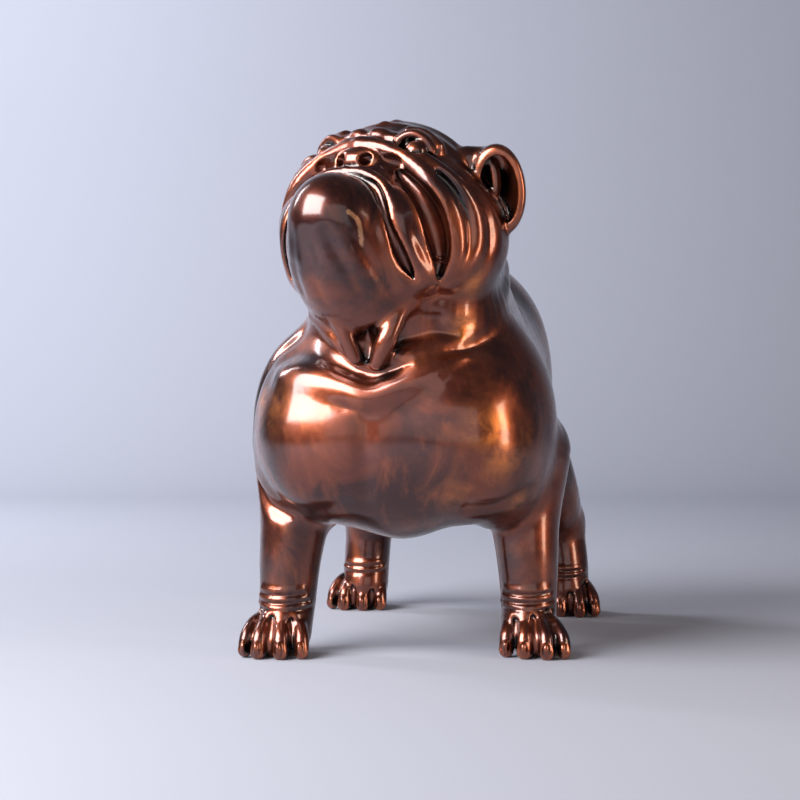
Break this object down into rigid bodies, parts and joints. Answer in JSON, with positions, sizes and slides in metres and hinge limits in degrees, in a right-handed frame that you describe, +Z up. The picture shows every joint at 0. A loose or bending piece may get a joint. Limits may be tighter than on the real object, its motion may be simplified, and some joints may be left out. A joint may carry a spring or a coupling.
{
  "type": "garden statue",
  "caption": "Cast bronze bulldog standing on its own paws, chin held high, deep facial folds, cupped ears and toed paws.",
  "frame": {"origin": "on the floor, midway between the figure's outermost points", "axes": "+X to the dog's left, +Y towards its tail, +Z up; the dog faces -Y"},
  "size_m": [0.3393, 0.5465, 0.5426],
  "materials": {
    "bronze": "copper-brown patina under gloss lacquer"
  },
  "bodies": {
    "root": {"bulldog": "bronze"}
  },
  "joints": []
}
